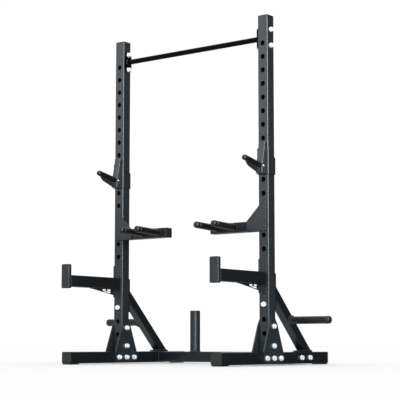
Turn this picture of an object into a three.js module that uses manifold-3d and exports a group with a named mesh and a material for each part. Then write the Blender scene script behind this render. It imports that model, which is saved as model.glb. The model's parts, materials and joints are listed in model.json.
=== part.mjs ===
// Half rack of square steel tube: two drilled uprights on long feet, a rear crossmember with an
// upright bar holder, two raking braces with plate pegs, a pull-up bar, and three pairs of
// attachments that hang in the adjustment holes: J-cups, dip arms and spotter arms.
// Millimetres, +Z up, front towards -Y. The origin is on the floor, under the middle of the
// bounding box.
import * as THREE from 'three';
import { mergeVertices } from 'three/addons/utils/BufferGeometryUtils.js';
import Module from 'manifold-3d';

const wasm = await Module();
wasm.setup();

// Driving dimensions
const TUBE = 70;                 // outside size of the uprights and feet
const WALL = 3;                  // tube wall
const CORNER = 8;                // outside corner radius of the main tube
const FIT = 0.4;                 // gap left between pieces that touch
const UPRIGHT_SPACING = 1110;    // between upright centrelines
const HEIGHT = 2050;             // floor to the top of the upright caps
const CAP_LIP = 4;               // thickness of a tube cap outside the tube
const CAP_PLUG = 20;             // how far a tube cap goes into the tube
const PAD = 5;                   // thickness of the rubber pads under the feet
const PAD_LENGTH = 85;
const PAD_WIDTH = 62;
const PAD_CORNER = 4;
const FOOT_FRONT = 500;          // from the upright centreline to the front end of the foot
const FOOT_REAR = 602;           // from the upright centreline to the rear end of the foot
const FOOT_CAP = 12;             // visible length of a foot cap

const HOLE_DIAMETER = 30;        // adjustment holes
const HOLE_PITCH = 81;
const HOLE_COUNT = 22;
const FIRST_HOLE = 180;          // height of the lowest hole

const PLATE = 8;                 // gussets, flanges and front plates
const DRAIN = 10;                // drain hole in a tube that is welded shut at both ends
const BOLT = 16;                 // bolt shank diameter
const BOLT_CLEARANCE = 1;        // how much wider a bolt's hole is
const BOLT_HEAD_ACROSS_FLATS = 24;
const BOLT_HEAD = 10;
const NUT = 13;
const THREAD_END = 4;            // thread that stands out of the nut
const WASHER_DIAMETER = 30;
const WASHER = 3;

const CROSS_OFFSET = 350;        // crossmember centre, behind the uprights
const CROSS_DEPTH = 60;
const CROSS_HEIGHT = 66;
const CROSS_STEP = 1;            // how far its top lies below the top of the feet
const CROSS_FLANGE_LENGTH = 130;
const CROSS_FLANGE_CORNER = 6;
const CROSS_BOLT_SPACING = 89;

const HOLDER_DIAMETER = 63.5;    // sleeve that stores a bar upright
const HOLDER_WALL = 4;
const HOLDER_X = -239;
const HOLDER_TOP = 332;

const BRACE = 55;                // brace tube, at 45 degrees
const BRACE_CORNER = 6;
const BRACE_LINE = 468;          // depth plus height of every point on the brace centreline
const BRACE_TOP_FLANGE = [320, 530];
const BRACE_FOOT_FLANGE = [316, 432];
const BRACE_FLANGE_WIDTH = 66;
const BRACE_BLANK = 900;         // tube length before its ends are mitred

const PEG_DIAMETER = 45;
const PEG_DEPTH = 208;           // peg centre, behind the uprights
const PEG_END = 297;             // peg tip, out from the upright centreline
const PEG_CAP = 27;
const PEG_CAP_PLUG = 15;
const PEG_CAP_EDGE = 12;         // rounding of the cap's end
const COLLAR_DIAMETER = 57;
const COLLAR = 12;                // thickness of the collar against the brace

const BAR_DIAMETER = 32;         // pull-up bar
const BAR_HEIGHT = 1916;
const BAR_FLANGE = [64, 124];
const BAR_FLANGE_CORNER = 18;
const BAR_BOLT_SPACING = 96;

const CUP_HOLE = 12;             // adjustment hole, counted from 0, that takes each pin
const DIP_HOLE = 9;
const SPOTTER_HOLE = 5;
const PIN_DIAMETER = 27;
const PIN_REACH = 62;            // how far a pin goes back from the face of the upright

const CUP_WIDTH = 46;
const CUP_BRACKET = 6;           // sheet of the J-cup's channel
const CUP_BRACKET_HEIGHTS = [1101, 1197, 1256];
const CUP_BRACKET_DEPTHS = [-28, 32];   // top and bottom rear edges of the channel's sides
const CUP_CRADLE_HEIGHTS = [1103, 1290];
const CUP_CRADLE_FRONT = [[-80, 1103], [-77, 1150], [-54, 1258], [-50, 1290]];
const CUP_RIB_OUTLINE = [
  [-78, 1105], [-93, 1105], [-185, 1136], [-207, 1154], [-207, 1168], [-70, 1150],
];
const CUP_ROD_DIAMETER = 34;
const CUP_ROD_TILT = 11;         // degrees up from level
const CUP_ROD_TIP = 236;         // in front of the upright centreline
const CUP_ROD_HEIGHT = 1145;     // rod axis where it leaves the channel
const CUP_WEB = 8;

const DIP_TUBE = 60;
const DIP_BOTTOM = 772;
const DIP_INNER_END = 170;       // from the rack's middle plane to the free end of a dip arm
const DIP_CORNER = 6;
const DIP_PLATE_TOP = 930;
const DIP_PLATE_HALF = 23;       // outer edge of the plate, from the upright centreline
const DIP_PLATE_INNER = 440;     // inner edge of the plate, from the rack's middle plane
const GRIP_DIAMETER = 40;
const GRIP_POSITIONS = { inner: 226, outer: 350 };
const GRIP_TIP = 255;            // length of the tilted grip, measured from the upright centreline
const GRIP_TILT = 2.3;           // degrees up from level
const GRIP_EDGE = 12;            // rounding of the grip's end

const SPOTTER_WIDTH = 60;
const SPOTTER_DEPTH = 70;
const SPOTTER_BOTTOM = 463;
const SPOTTER_PLATE = [411, 610];
const SPOTTER_PLATE_WIDTH = 65;
const SPOTTER_PLATE_CORNER = 4;
const STOP_TIP = 517;            // front of the stop, from the upright centreline
const STOP = 24;
const STOP_HEIGHTS = [453, 598];
const STOP_CORNER = 8;
const SPOTTER_GUSSET_REACH = 302;
const SPOTTER_GUSSET_RISE = 8;   // lower edge of the gusset, above the bottom of the plate
const SPOTTER_GUSSET = 5;        // thickness of the gusset
// Two slots side by side in the gusset and a wedge-shaped window under them
const SPOTTER_SLOT = { length: 34, height: 9, level: 454, depths: [-165, -121] };
const SPOTTER_SLOT_END = 4;      // corner radius at the ends of the slots
const SPOTTER_WINDOW = [[-174, 446], [-106, 446], [-106, 434], [-168, 444]];

const OVERLAP = 0.1;             // how far shapes of one piece reach into each other
const OVERSHOOT = 5;             // how far a cutting shape passes through what it cuts
const TRIM_BLOCK = 600;          // size of the blocks that mitre the brace

// Values that follow from them
const HALF = TUBE / 2;
const UPRIGHT_X = UPRIGHT_SPACING / 2;
const FOOT_TOP = PAD + TUBE;
const FRONT_EXTENT = STOP_TIP;
const REAR_EXTENT = FOOT_REAR;
const Y_SHIFT = (FRONT_EXTENT - REAR_EXTENT) / 2;
const holeHeight = (index) => FIRST_HOLE + index * HOLE_PITCH;

// Finishes
const FINISH = {
  frame: { color: 0x43484d, roughness: 0.5, metalness: 0.35 },
  attachment: { color: 0x3b4045, roughness: 0.5, metalness: 0.35 },
  cradle: { color: 0x5a6066, roughness: 0.45, metalness: 0.4 },
  zinc: { color: 0xd9dcde, roughness: 0.3, metalness: 0.9 },
  plastic: { color: 0x17191b, roughness: 0.6, metalness: 0 },
  rubber: { color: 0x111213, roughness: 0.85, metalness: 0 },
};

// Joining and cutting
function toSolid(geometry) {
  const bare = geometry.clone();
  bare.deleteAttribute('normal');
  bare.deleteAttribute('uv');
  const merged = mergeVertices(bare, 1e-3);
  const index = merged.index.array;
  const kept = [];
  for (let i = 0; i < index.length; i += 3) {
    const [a, b, c] = [index[i], index[i + 1], index[i + 2]];
    if (a !== b && b !== c && c !== a) {
      kept.push(a, b, c);
    }
  }
  return new wasm.Manifold(new wasm.Mesh({
    numProp: 3,
    vertProperties: new Float32Array(merged.attributes.position.array),
    triVerts: new Uint32Array(kept),
  }));
}

function toGeometry(solid) {
  const mesh = solid.getMesh();
  const geometry = new THREE.BufferGeometry();
  geometry.setAttribute('position', new THREE.BufferAttribute(mesh.vertProperties, 3));
  geometry.setIndex(new THREE.BufferAttribute(mesh.triVerts, 1));
  geometry.computeVertexNormals();
  return geometry;
}

function join(geometries) {
  const solids = geometries.map(toSolid);
  return toGeometry(solids.reduce((whole, next) => whole.add(next)));
}

function cut(geometry, tools) {
  return toGeometry(tools.map(toSolid).reduce((left, tool) => left.subtract(tool), toSolid(geometry)));
}

// Shapes
function roundedRectangle(width, height, radius) {
  const [w, h] = [width / 2, height / 2];
  const shape = new THREE.Shape();
  shape.moveTo(-w + radius, -h);
  shape.lineTo(w - radius, -h);
  shape.absarc(w - radius, -h + radius, radius, -Math.PI / 2, 0);
  shape.lineTo(w, h - radius);
  shape.absarc(w - radius, h - radius, radius, 0, Math.PI / 2);
  shape.lineTo(-w + radius, h);
  shape.absarc(-w + radius, h - radius, radius, Math.PI / 2, Math.PI);
  shape.lineTo(-w, -h + radius);
  shape.absarc(-w + radius, -h + radius, radius, Math.PI, 1.5 * Math.PI);
  return shape;
}

function extrude(shape, depth) {
  return new THREE.ExtrudeGeometry(shape, { depth, bevelEnabled: false, curveSegments: 2 });
}

function outline(points) {
  return new THREE.Shape(points.map(([a, b]) => new THREE.Vector2(a, b)));
}

// A square tube along +Z from 0 to length, centred on the axis
function squareTube(width, height, length, wall = WALL, radius = CORNER) {
  const shape = roundedRectangle(width, height, radius);
  shape.holes.push(roundedRectangle(width - 2 * wall, height - 2 * wall, radius - wall));
  return extrude(shape, length);
}

function squareBar(width, height, length, radius = CORNER) {
  return extrude(roundedRectangle(width, height, radius), length);
}

// A plate lying in the YZ plane, between two X values, from an outline of [y, z] points
function platePerpendicularToX(shape, from, to) {
  const geometry = extrude(shape, to - from);
  geometry.rotateX(Math.PI / 2);
  geometry.rotateZ(Math.PI / 2);
  return geometry.translate(from, 0, 0);
}

// A plate lying in the XZ plane, between two Y values, from an outline of [x, z] points
function platePerpendicularToY(shape, from, to) {
  const geometry = extrude(shape, to - from);
  geometry.rotateX(Math.PI / 2);
  return geometry.translate(0, to, 0);
}

function roundBar(diameter, length, segments = 16) {
  return new THREE.CylinderGeometry(diameter / 2, diameter / 2, length, segments);
}

function barAlongX(diameter, from, to, segments) {
  return roundBar(diameter, to - from, segments).rotateZ(Math.PI / 2).translate((from + to) / 2, 0, 0);
}

function barAlongY(diameter, from, to, segments) {
  return roundBar(diameter, to - from, segments).translate(0, (from + to) / 2, 0);
}

function barAlongZ(diameter, from, to, segments) {
  return roundBar(diameter, to - from, segments).rotateX(Math.PI / 2).translate(0, 0, (from + to) / 2);
}

// A round bar along +Z from 0 to length whose far end is rounded over by the given radius
function roundEndedBar(diameter, length, endRadius, segments = 18) {
  const radius = diameter / 2;
  const steps = 3;
  const profile = [new THREE.Vector2(0, 0), new THREE.Vector2(radius, 0)];
  for (let i = 0; i <= steps; i += 1) {
    const angle = (i / steps) * (Math.PI / 2);
    profile.push(new THREE.Vector2(
      radius - endRadius + endRadius * Math.cos(angle),
      length - endRadius + endRadius * Math.sin(angle),
    ));
  }
  if (endRadius < radius) {
    profile.push(new THREE.Vector2(0, length));
  } else {
    profile[profile.length - 1].x = 0;
  }
  return new THREE.LatheGeometry(profile, segments).rotateX(Math.PI / 2);
}

// Bolt, washers and nut as one piece along +X: the head's washer seats at `from`, the nut's at `to`
function throughBolt(from, to) {
  const hex = (start, length) => {
    const radius = BOLT_HEAD_ACROSS_FLATS / Math.sqrt(3);
    const prism = new THREE.CylinderGeometry(radius, radius, length, 6);
    return prism.rotateZ(Math.PI / 2).translate(start + length / 2, 0, 0);
  };
  const headFace = from - FIT - WASHER;
  const nutFace = to + FIT + WASHER;
  return join([
    hex(headFace - BOLT_HEAD, BOLT_HEAD + OVERLAP),
    barAlongX(WASHER_DIAMETER, headFace, headFace + WASHER, 12),
    barAlongX(BOLT, headFace, nutFace + NUT + THREAD_END, 8),
    barAlongX(WASHER_DIAMETER, nutFace - WASHER, nutFace, 12),
    hex(nutFace - OVERLAP, NUT + OVERLAP),
  ]);
}

// The object
const rack = new THREE.Group();
rack.position.y = Y_SHIFT;
const object = new THREE.Group();
object.add(rack);

function addPiece(name, geometry, finish, position = [0, 0, 0]) {
  const mesh = new THREE.Mesh(geometry, new THREE.MeshStandardMaterial(FINISH[finish]));
  mesh.name = name;
  mesh.position.set(...position);
  rack.add(mesh);
  return mesh;
}

const SIDES = [['left', -1], ['right', 1]];

// Bolt centres of a gusset, as [depth, height]
const GUSSET_BOLTS = {
  top: [0, 222],
  middle: [0, 110],
  front: [-70, 40],
  centre: [0, 40],
  rear: [70, 40],
};
const GUSSET_OUTLINE = [
  [-98, 8], [98, 8], [98, 80], [40, 232], [16, 268], [-16, 268], [-40, 232], [-98, 80],
];

function makeUpright() {
  const bottom = FOOT_TOP + FIT;
  const tube = squareTube(TUBE, TUBE, HEIGHT - CAP_LIP - FIT - bottom).translate(0, 0, bottom);
  const tools = [];
  for (let index = 0; index < HOLE_COUNT; index += 1) {
    tools.push(barAlongY(HOLE_DIAMETER, -TUBE, TUBE, 12).translate(0, 0, holeHeight(index)));
  }
  for (const name of ['top', 'middle']) {
    tools.push(barAlongX(BOLT + BOLT_CLEARANCE, -TUBE, TUBE, 8).translate(0, ...GUSSET_BOLTS[name]));
  }
  return cut(tube, tools);
}

function makeTubeCap(lip) {
  const plugWidth = TUBE - 2 * WALL - 2 * FIT;
  return join([
    squareBar(TUBE, TUBE, lip),
    squareBar(plugWidth, plugWidth, CAP_PLUG, CORNER - WALL).translate(0, 0, OVERLAP - CAP_PLUG),
  ]);
}

function makeFoot() {
  const length = FOOT_FRONT + FOOT_REAR - 2 * FOOT_CAP - 2 * FIT;
  const tube = squareTube(TUBE, TUBE, length).rotateX(-Math.PI / 2);
  tube.translate(0, -FOOT_FRONT + FOOT_CAP + FIT, PAD + HALF);
  const tools = ['front', 'centre', 'rear'].map((name) => (
    barAlongX(BOLT + BOLT_CLEARANCE, -TUBE, TUBE, 8).translate(0, ...GUSSET_BOLTS[name])
  ));
  return cut(tube, tools);
}

function makeGusset(inner, outer) {
  const plate = platePerpendicularToX(outline(GUSSET_OUTLINE), inner, outer);
  const tools = Object.values(GUSSET_BOLTS).map(([depth, height]) => (
    barAlongX(BOLT + BOLT_CLEARANCE, inner - OVERSHOOT, outer + OVERSHOOT, 8)
      .translate(0, depth, height)
  ));
  return cut(plate, tools);
}

function addFrameSide(sideName, side) {
  const x = side * UPRIGHT_X;
  addPiece(`upright_${sideName}`, makeUpright(), 'frame', [x, 0, 0]);
  addPiece(`upright_cap_${sideName}`, makeTubeCap(CAP_LIP), 'plastic', [x, 0, HEIGHT - CAP_LIP]);
  addPiece(`foot_${sideName}`, makeFoot(), 'frame', [x, 0, 0]);

  const capHeight = PAD + HALF;
  const frontCap = makeTubeCap(FOOT_CAP).rotateX(Math.PI / 2);
  addPiece(`foot_cap_${sideName}_front`, frontCap, 'plastic', [x, -FOOT_FRONT + FOOT_CAP, capHeight]);
  const rearCap = makeTubeCap(FOOT_CAP).rotateX(-Math.PI / 2);
  addPiece(`foot_cap_${sideName}_rear`, rearCap, 'plastic', [x, FOOT_REAR - FOOT_CAP, capHeight]);

  const padHalf = PAD_LENGTH / 2;
  for (const [end, depth] of [['front', -FOOT_FRONT + padHalf], ['rear', FOOT_REAR - padHalf]]) {
    const pad = squareBar(PAD_WIDTH, PAD_LENGTH, PAD - FIT, PAD_CORNER);
    addPiece(`foot_pad_${sideName}_${end}`, pad, 'rubber', [x, depth, 0]);
  }

  const faces = { inner: -1, outer: 1 };
  for (const [faceName, face] of Object.entries(faces)) {
    const near = side * face * (HALF + FIT);
    const far = side * face * (HALF + FIT + PLATE);
    const gusset = makeGusset(Math.min(near, far), Math.max(near, far));
    addPiece(`gusset_${sideName}_${faceName}`, gusset, 'frame', [x, 0, 0]);
  }
  for (const [name, [depth, height]] of Object.entries(GUSSET_BOLTS)) {
    const reach = HALF + FIT + PLATE;
    const bolt = throughBolt(-reach, reach);
    if (side > 0) {
      bolt.rotateZ(Math.PI);
    }
    addPiece(`gusset_bolt_${sideName}_${name}`, bolt, 'zinc', [x, depth, height]);
  }
}

// Brace tube at 45 degrees with the flange on the upright and the flange on the foot
function makeBrace() {
  const back = HALF + FIT;
  const floor = FOOT_TOP + FIT;
  const tube = squareTube(BRACE, BRACE, BRACE_BLANK, WALL, BRACE_CORNER)
    .translate(0, 0, -BRACE_BLANK / 2)
    .rotateX(Math.PI / 4)
    .translate(0, BRACE_LINE / 2, BRACE_LINE / 2);
  const beforeUpright = new THREE.BoxGeometry(TRIM_BLOCK, TRIM_BLOCK, 2 * TRIM_BLOCK)
    .translate(0, back + PLATE / 2 - TRIM_BLOCK / 2, 0);
  const belowFoot = new THREE.BoxGeometry(TRIM_BLOCK, 2 * TRIM_BLOCK, TRIM_BLOCK)
    .translate(0, 0, floor + PLATE / 2 - TRIM_BLOCK / 2);
  const trimmed = cut(tube, [beforeUpright, belowFoot]);
  const [topLow, topHigh] = BRACE_TOP_FLANGE;
  const topFlange = platePerpendicularToY(
    roundedRectangle(BRACE_FLANGE_WIDTH, topHigh - topLow, CORNER), back, back + PLATE,
  ).translate(0, 0, (topLow + topHigh) / 2);
  const [front, rear] = BRACE_FOOT_FLANGE;
  const footFlange = squareBar(BRACE_FLANGE_WIDTH, rear - front, PLATE)
    .translate(0, (front + rear) / 2, floor);
  const drain = barAlongZ(DRAIN, -BRACE, 0, 12)
    .rotateX(-Math.PI / 4)
    .translate(0, BRACE_LINE - floor - 2 * BRACE, floor + 2 * BRACE);
  return cut(join([trimmed, topFlange, footFlange]), [drain]);
}

function addBraceSide(sideName, side) {
  const x = side * UPRIGHT_X;
  addPiece(`brace_${sideName}`, makeBrace(), 'frame', [x, 0, 0]);
  const start = BRACE / 2 + FIT;
  const height = BRACE_LINE - PEG_DEPTH;
  const turn = side > 0 ? Math.PI / 2 : -Math.PI / 2;
  const pegLength = PEG_END - PEG_CAP - FIT - start;
  const pegTube = join([
    barAlongZ(COLLAR_DIAMETER, 0, COLLAR, 20),
    barAlongZ(PEG_DIAMETER, 0, pegLength, 20),
  ]);
  const peg = cut(pegTube, [barAlongZ(PEG_DIAMETER - 2 * WALL, COLLAR, PEG_END, 16)]).rotateY(turn);
  addPiece(`plate_peg_${sideName}`, peg, 'frame', [x + side * start, PEG_DEPTH, height]);
  const cap = join([
    roundEndedBar(PEG_DIAMETER, PEG_CAP, PEG_CAP_EDGE),
    barAlongZ(PEG_DIAMETER - 2 * WALL - 2 * FIT, -PEG_CAP_PLUG, OVERLAP, 16),
  ]).rotateY(turn);
  addPiece(`plate_peg_cap_${sideName}`, cap, 'plastic', [x + side * (PEG_END - PEG_CAP), PEG_DEPTH, height]);
}

function addCrossmember() {
  const flangeFace = UPRIGHT_X - HALF - FIT;
  const top = FOOT_TOP - CROSS_STEP;
  const height = top - CROSS_HEIGHT / 2;
  const half = flangeFace - PLATE / 2;
  const tube = squareTube(CROSS_DEPTH, CROSS_HEIGHT, 2 * half)
    .translate(0, 0, -half)
    .rotateY(Math.PI / 2)
    .rotateX(Math.PI / 2);
  const flange = (from) => {
    const blank = platePerpendicularToX(
      roundedRectangle(CROSS_FLANGE_LENGTH, CROSS_HEIGHT, CROSS_FLANGE_CORNER), from, from + PLATE,
    );
    const tools = [-1, 1].map((end) => (
      barAlongX(BOLT + BOLT_CLEARANCE, from - OVERSHOOT, from + PLATE + OVERSHOOT, 8)
        .translate(0, (end * CROSS_BOLT_SPACING) / 2, 0)
    ));
    return cut(blank, tools);
  };
  const drain = barAlongZ(DRAIN, -CROSS_HEIGHT, 0, 12);
  const crossmember = cut(join([tube, flange(-flangeFace), flange(flangeFace - PLATE)]), [drain]);
  addPiece('crossmember', crossmember, 'frame', [0, CROSS_OFFSET, height]);

  const base = top + FIT;
  const holder = cut(barAlongZ(HOLDER_DIAMETER, base, HOLDER_TOP, 24), [
    barAlongZ(HOLDER_DIAMETER - 2 * HOLDER_WALL, base + HOLDER_WALL, HOLDER_TOP + OVERSHOOT, 24),
  ]);
  addPiece('bar_holder', holder, 'frame', [HOLDER_X, CROSS_OFFSET, 0]);
}

function addPullUpBar() {
  const face = UPRIGHT_X - HALF - FIT;
  const flange = (from) => {
    const blank = platePerpendicularToX(
      roundedRectangle(...BAR_FLANGE, BAR_FLANGE_CORNER), from, from + PLATE,
    );
    const tools = [-1, 1].map((end) => (
      barAlongX(BOLT + BOLT_CLEARANCE, from - OVERSHOOT, from + PLATE + OVERSHOOT, 8)
        .translate(0, 0, (end * BAR_BOLT_SPACING) / 2)
    ));
    return cut(blank, tools);
  };
  const bar = barAlongX(BAR_DIAMETER, -face + PLATE / 2, face - PLATE / 2, 20);
  const assembly = join([bar, flange(-face), flange(face - PLATE)]);
  addPiece('pull_up_bar', assembly, 'frame', [0, 0, BAR_HEIGHT]);
}

// A pin that hooks into an adjustment hole from the front plate
function makePin(height) {
  const start = -HALF - PLATE / 2;
  return barAlongY(PIN_DIAMETER, start, start + PIN_REACH, 12).translate(0, 0, height);
}

function makeCupRod(diameter) {
  const tilt = THREE.MathUtils.degToRad(CUP_ROD_TILT);
  const length = (CUP_ROD_TIP - HALF - FIT - CUP_BRACKET) / Math.cos(tilt);
  return roundEndedBar(diameter, length, diameter / 2)
    .rotateX(Math.PI / 2 - tilt)
    .translate(0, -HALF - 2 * FIT - CUP_BRACKET, CUP_ROD_HEIGHT);
}

function makeCupBracket(rodSpace) {
  const inner = HALF + FIT;
  const outer = inner + CUP_BRACKET;
  const [low, shoulder, high] = CUP_BRACKET_HEIGHTS;
  const web = new THREE.BoxGeometry(2 * outer, CUP_BRACKET, high - low)
    .translate(0, -inner - CUP_BRACKET / 2, (low + high) / 2);
  const [topRear, rear] = CUP_BRACKET_DEPTHS;
  const sideOutline = outline([
    [-outer, low], [rear, low], [rear, shoulder], [topRear, high], [-outer, high],
  ]);
  const sides = [
    platePerpendicularToX(sideOutline, inner, outer),
    platePerpendicularToX(sideOutline, -outer, -inner),
  ];
  return cut(join([web, ...sides, makePin(holeHeight(CUP_HOLE))]), [rodSpace]);
}

// The wedge that the bar leans on, with the rib that carries the rod
function makeCupCradle(rodSpace) {
  const back = -HALF - 2 * FIT - CUP_BRACKET;
  const [low, high] = CUP_CRADLE_HEIGHTS;
  const wedgeOutline = outline([[back, low], ...CUP_CRADLE_FRONT, [back, high]]);
  const wedge = platePerpendicularToX(wedgeOutline, -CUP_WIDTH / 2, CUP_WIDTH / 2);
  const rib = platePerpendicularToX(outline(CUP_RIB_OUTLINE), -CUP_WEB / 2, CUP_WEB / 2);
  return cut(join([wedge, rib]), [rodSpace]);
}

function addJCup(sideName, side) {
  const x = side * UPRIGHT_X;
  const rodSpace = makeCupRod(CUP_ROD_DIAMETER + 2 * FIT);
  addPiece(`j_cup_bracket_${sideName}`, makeCupBracket(rodSpace), 'attachment', [x, 0, 0]);
  addPiece(`j_cup_cradle_${sideName}`, makeCupCradle(rodSpace), 'cradle', [x, 0, 0]);
  addPiece(`j_cup_rod_${sideName}`, makeCupRod(CUP_ROD_DIAMETER), 'rubber', [x, 0, 0]);
}

// A grip along -Y that rises towards its tip, its base trimmed flat against the arm
function makeGrip() {
  const length = GRIP_TIP - HALF - FIT + OVERSHOOT;
  const bar = roundEndedBar(GRIP_DIAMETER, length, GRIP_EDGE)
    .translate(0, 0, -OVERSHOOT)
    .rotateX(Math.PI / 2 - THREE.MathUtils.degToRad(GRIP_TILT));
  const armSpace = new THREE.BoxGeometry(TUBE, TUBE, TUBE).translate(0, HALF, 0);
  return cut(bar, [armSpace]);
}

function addDipArm(sideName, side) {
  const face = HALF + FIT;
  const plateOutline = outline([
    [UPRIGHT_X + DIP_PLATE_HALF, DIP_BOTTOM],
    [UPRIGHT_X + DIP_PLATE_HALF, DIP_PLATE_TOP],
    [DIP_PLATE_INNER + DIP_PLATE_TOP - DIP_BOTTOM - DIP_TUBE, DIP_PLATE_TOP],
    [DIP_PLATE_INNER, DIP_BOTTOM + DIP_TUBE],
    [DIP_PLATE_INNER, DIP_BOTTOM],
  ].map(([x, z]) => [side * x, z]));
  const plate = platePerpendicularToY(plateOutline, -face - PLATE, -face);
  const pin = makePin(holeHeight(DIP_HOLE)).translate(side * UPRIGHT_X, 0, 0);
  addPiece(`dip_bracket_${sideName}`, join([plate, pin]), 'attachment');

  const outerEnd = UPRIGHT_X - HALF - FIT;
  const length = outerEnd - DIP_INNER_END;
  const tube = squareTube(DIP_TUBE, DIP_TUBE, length, WALL, DIP_CORNER).rotateY(side * (Math.PI / 2));
  const middle = DIP_TUBE / 2;
  const armPosition = [side * DIP_INNER_END, -HALF + middle, DIP_BOTTOM + middle];
  addPiece(`dip_arm_${sideName}`, tube, 'attachment', armPosition);

  for (const [name, distance] of Object.entries(GRIP_POSITIONS)) {
    const position = [side * distance, -face, armPosition[2]];
    addPiece(`dip_grip_${sideName}_${name}`, makeGrip(), 'rubber', position);
  }
}

function addSpotter(sideName, side) {
  const x = side * UPRIGHT_X;
  const face = HALF + FIT;
  const [low, high] = SPOTTER_PLATE;
  const plate = platePerpendicularToY(
    roundedRectangle(SPOTTER_PLATE_WIDTH, high - low, SPOTTER_PLATE_CORNER), -face - PLATE, -face,
  ).translate(0, 0, (low + high) / 2);
  const bracket = join([plate, makePin(holeHeight(SPOTTER_HOLE))]);
  addPiece(`spotter_bracket_${sideName}`, bracket, 'attachment', [x, 0, 0]);

  const armStart = face + PLATE + FIT;
  const armLength = STOP_TIP - STOP - FIT - armStart;
  const arm = squareTube(SPOTTER_WIDTH, SPOTTER_DEPTH, armLength).rotateX(Math.PI / 2);
  const armHeight = SPOTTER_BOTTOM + SPOTTER_DEPTH / 2;
  addPiece(`spotter_arm_${sideName}`, arm, 'attachment', [x, -armStart, armHeight]);

  const [stopLow, stopHigh] = STOP_HEIGHTS;
  const stop = platePerpendicularToY(
    roundedRectangle(SPOTTER_WIDTH, stopHigh - stopLow, STOP_CORNER), -STOP_TIP, -STOP_TIP + STOP,
  );
  addPiece(`spotter_stop_${sideName}`, stop, 'attachment', [x, 0, (stopLow + stopHigh) / 2]);

  const top = SPOTTER_BOTTOM - FIT;
  const gussetOutline = outline([
    [-armStart, top], [-armStart, low + SPOTTER_GUSSET_RISE], [-SPOTTER_GUSSET_REACH, top],
  ]);
  const half = SPOTTER_GUSSET / 2;
  const { length, height, level, depths } = SPOTTER_SLOT;
  const windows = depths.map((depth) => (
    platePerpendicularToX(roundedRectangle(length, height, SPOTTER_SLOT_END), -TUBE, TUBE)
      .translate(0, depth, level)
  ));
  windows.push(platePerpendicularToX(outline(SPOTTER_WINDOW), -TUBE, TUBE));
  const gusset = cut(platePerpendicularToX(gussetOutline, -half, half), windows);
  addPiece(`spotter_gusset_${sideName}`, gusset, 'attachment', [x, 0, 0]);
}

addCrossmember();
addPullUpBar();
for (const [sideName, side] of SIDES) {
  addFrameSide(sideName, side);
  addBraceSide(sideName, side);
  addJCup(sideName, side);
  addDipArm(sideName, side);
  addSpotter(sideName, side);
}

export default object;
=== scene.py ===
"""A half rack of square steel tube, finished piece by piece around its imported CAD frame.

Two drilled uprights stand on long feet, joined at the rear by a crossmember that carries a sleeve
for a stored bar, and braced by raking tubes with plate pegs. A pull-up bar joins them at the top.
J-cups, dip arms and spotter arms hang in the adjustment holes. Metres, +Z up, front towards -Y.
"""

import json
import math

import bmesh
import bpy
from bpy.props import FloatProperty, FloatVectorProperty, IntProperty, PointerProperty
from mathutils import Matrix, Vector

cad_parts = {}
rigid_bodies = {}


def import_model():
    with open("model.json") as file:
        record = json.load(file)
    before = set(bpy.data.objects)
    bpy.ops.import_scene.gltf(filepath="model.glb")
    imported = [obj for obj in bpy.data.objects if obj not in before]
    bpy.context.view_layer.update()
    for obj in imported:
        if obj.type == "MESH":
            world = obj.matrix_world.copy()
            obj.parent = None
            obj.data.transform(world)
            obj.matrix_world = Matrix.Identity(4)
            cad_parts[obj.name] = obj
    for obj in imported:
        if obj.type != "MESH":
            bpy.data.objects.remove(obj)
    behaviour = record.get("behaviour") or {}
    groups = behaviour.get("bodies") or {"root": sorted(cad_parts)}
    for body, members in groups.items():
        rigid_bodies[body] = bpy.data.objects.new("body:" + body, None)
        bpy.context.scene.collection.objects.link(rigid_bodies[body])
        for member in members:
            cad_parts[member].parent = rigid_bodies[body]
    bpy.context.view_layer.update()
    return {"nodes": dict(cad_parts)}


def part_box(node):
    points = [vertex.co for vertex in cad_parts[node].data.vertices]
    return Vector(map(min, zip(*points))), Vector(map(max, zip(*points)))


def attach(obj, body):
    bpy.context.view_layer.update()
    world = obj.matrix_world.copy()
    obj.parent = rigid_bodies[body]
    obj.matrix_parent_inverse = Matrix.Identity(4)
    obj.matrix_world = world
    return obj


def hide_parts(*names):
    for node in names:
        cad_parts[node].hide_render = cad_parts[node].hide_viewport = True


bl_info = {
    "name": "Half Rack",
    "version": (1, 0, 0),
    "blender": (4, 5, 0),
    "location": "View3D > Sidebar > Half Rack",
    "description": "Finishes the pieces of a half rack around its packed frame",
    "category": "Object",
}

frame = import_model()

X = Vector((1, 0, 0))
Y = Vector((0, 1, 0))
Z = Vector((0, 0, 1))
SIDES = (("left", -1), ("right", 1))
SHARP_ANGLE = math.radians(32)
PLATE = 0.008  # flanges and front plates
BRACE_WIDTH = 0.055
BRACE_CORNER = 0.006
CROSS_DEPTH = 0.060
BAR_RADIUS = 0.016
PEG_RADIUS = 0.0225
COLLAR_RADIUS = 0.0285
COLLAR_WIDTH = 0.012
CUP_HOLE, DIP_HOLE, SPOTTER_HOLE = 12, 9, 5  # the hole that takes each pin, counted from 0
CUP_TILT = 11  # degrees that a J-cup's rod rises above level
GRIP_TILT = 2.3  # degrees that the dip grips rise above level
# Outlines of a J-cup's wedge and rib: depth from the channel's face, and height above its foot.
CUP_FRONT = [(-0.0382, 0), (-0.0352, 0.047), (-0.0122, 0.155), (-0.0082, 0.187)]
CUP_RIB = [(-0.034, 0.002), (-0.051, 0.002), (-0.143, 0.033), (-0.165, 0.051), (-0.165, 0.065)]
CUP_RIB_ROOT = (-0.03, 0.046)
DIM_SIDE = (0.606, 0.795, 0.0)  # direction of the studio's dimmer side
# The origin lies under the middle of the bounding box, this far from the uprights' plane.
Y_SHIFT = sum(corner.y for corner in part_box("upright_left")) / 2


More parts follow.
